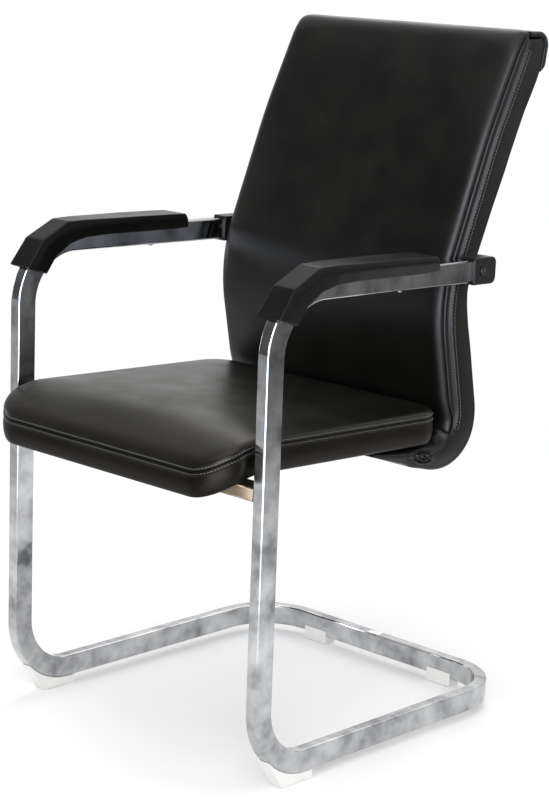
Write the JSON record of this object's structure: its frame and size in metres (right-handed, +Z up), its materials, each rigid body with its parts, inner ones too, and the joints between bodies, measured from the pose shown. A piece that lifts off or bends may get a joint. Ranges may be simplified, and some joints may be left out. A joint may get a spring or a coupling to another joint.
{
  "type": "visitor chair",
  "caption": "Padded black visitor chair on a bent chrome cantilever frame, with a high curved back that tucks under the seat and faceted black arm pads.",
  "frame": {"origin": "middle of the chair's footprint at floor level: bottom centre of its bounding box", "axes": "+Z up; the sitter faces -Y; +X is the sitter's left, where frame_tube_left is"},
  "size_m": [0.548, 0.6612, 1.004],
  "materials": {
    "chromed_steel": "polished chrome plate",
    "nickel_plated_steel": "dull nickel plate",
    "zinc_plated_steel": "zinc plate",
    "black_coated_steel": "satin powder coat",
    "black_leather": "semi-gloss, fine grain",
    "birch_plywood": "unfinished ply",
    "dust_cover_cloth": "non-woven cloth",
    "black_moulded_plastic": "satin moulded",
    "white_moulded_plastic": "satin moulded"
  },
  "bodies": {
    "root": {"arm_bolt_left": "zinc_plated_steel", "arm_bolt_right": "zinc_plated_steel", "arm_cap_left": "black_moulded_plastic", "arm_cap_right": "black_moulded_plastic", "arm_pad_left": "black_moulded_plastic", "arm_pad_right": "black_moulded_plastic", "arm_pad_screw_left": "zinc_plated_steel", "arm_pad_screw_right": "zinc_plated_steel", "arm_spacer_left": "black_moulded_plastic", "arm_spacer_right": "black_moulded_plastic", "back_board": "birch_plywood", "back_body": "black_leather", "back_cushion": "black_leather", "back_top_roll": "black_leather", "frame_tube_left": "chromed_steel", "frame_tube_right": "chromed_steel", "front_glide_left": "white_moulded_plastic", "front_glide_right": "white_moulded_plastic", "front_glide_screw_left": "zinc_plated_steel", "front_glide_screw_right": "zinc_plated_steel", "lip_bolt_inner_left": "zinc_plated_steel", "lip_bolt_inner_right": "zinc_plated_steel", "lip_bolt_outer_left": "zinc_plated_steel", "lip_bolt_outer_right": "zinc_plated_steel", "rear_glide_left": "white_moulded_plastic", "rear_glide_right": "white_moulded_plastic", "rear_glide_screw_left": "zinc_plated_steel", "rear_glide_screw_right": "zinc_plated_steel", "rear_rail_splice": "zinc_plated_steel", "saddle_bolt_left": "zinc_plated_steel", "saddle_bolt_right": "zinc_plated_steel", "seat_board": "birch_plywood", "seat_crossbar": "nickel_plated_steel", "seat_cushion": "black_leather", "seat_dust_cover": "dust_cover_cloth", "seat_saddle_left": "black_coated_steel", "seat_saddle_right": "black_coated_steel", "t_nut_lip_inner_left": "zinc_plated_steel", "t_nut_lip_inner_right": "zinc_plated_steel", "t_nut_lip_outer_left": "zinc_plated_steel", "t_nut_lip_outer_right": "zinc_plated_steel", "t_nut_saddle_left": "zinc_plated_steel", "t_nut_saddle_right": "zinc_plated_steel", "threaded_insert_left": "zinc_plated_steel", "threaded_insert_right": "zinc_plated_steel"}
  },
  "joints": []
}
